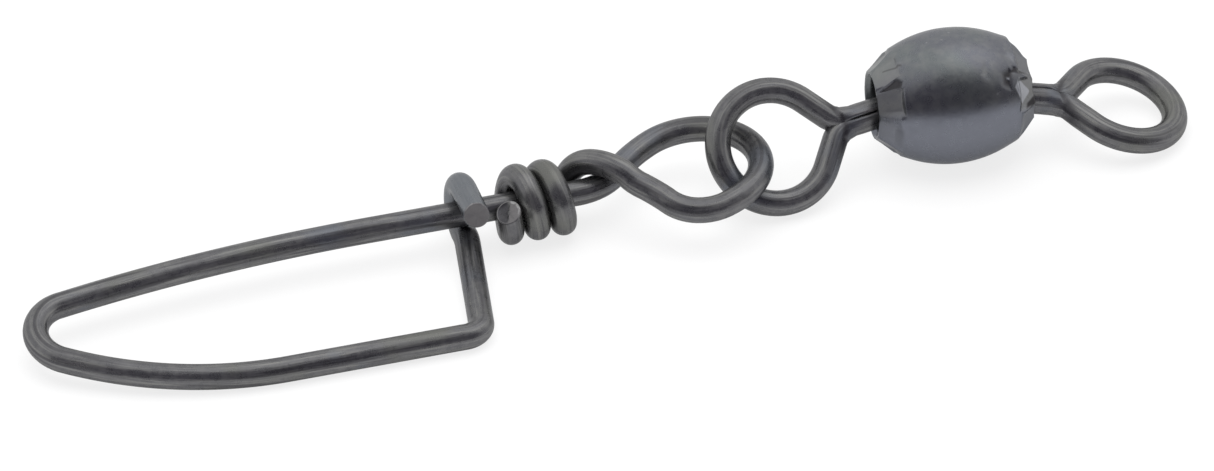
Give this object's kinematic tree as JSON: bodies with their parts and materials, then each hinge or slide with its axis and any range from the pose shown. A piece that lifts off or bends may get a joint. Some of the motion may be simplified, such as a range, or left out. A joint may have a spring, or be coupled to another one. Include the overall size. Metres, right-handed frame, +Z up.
{
  "type": "fishing snap swivel",
  "caption": "Barrel swivel with a wire eye at each end and a long hooked wire snap hanging in one eye, for clipping a lure or leader to a fishing line.",
  "frame": {"origin": "middle of the bounding box, on the surface that the swivel lies on", "axes": "+X along the barrel towards the line eye, +Z up, +Y to the side away from the snap's long loop"},
  "size_m": [0.0846, 0.0224, 0.0095],
  "materials": {
    "spring_wire": "blackened hard-drawn wire, satin",
    "eye_wire": "blackened wire, satin, with die marks",
    "barrel_shell": "dark oxide over a drawn shell, satin"
  },
  "bodies": {
    "barrel": {"barrel": "barrel_shell"},
    "line_eye": {"line_eye": "eye_wire"},
    "snap_eye": {"snap_eye": "eye_wire"},
    "snap": {"snap_wire": "spring_wire"}
  },
  "joints": [
    {"name": "line_eye_spin", "type": "hinge", "parent": "barrel", "child": "line_eye", "pos_m": [0.02848, 0.00608, 0.00458], "axis": [0.9636, 0.0421, -0.2639], "continuous": true},
    {"name": "snap_eye_spin", "type": "hinge", "parent": "barrel", "child": "snap_eye", "pos_m": [0.02228, 0.00658, 0.00449], "axis": [-0.9725, -0.2245, -0.0619], "continuous": true},
    {"name": "snap_swing", "type": "hinge", "parent": "snap_eye", "child": "snap", "pos_m": [0.00842, 0.00338, 0.00361], "axis": [-0.0868, 0.1504, 0.9848], "range_deg": [-85, 125]}
  ]
}
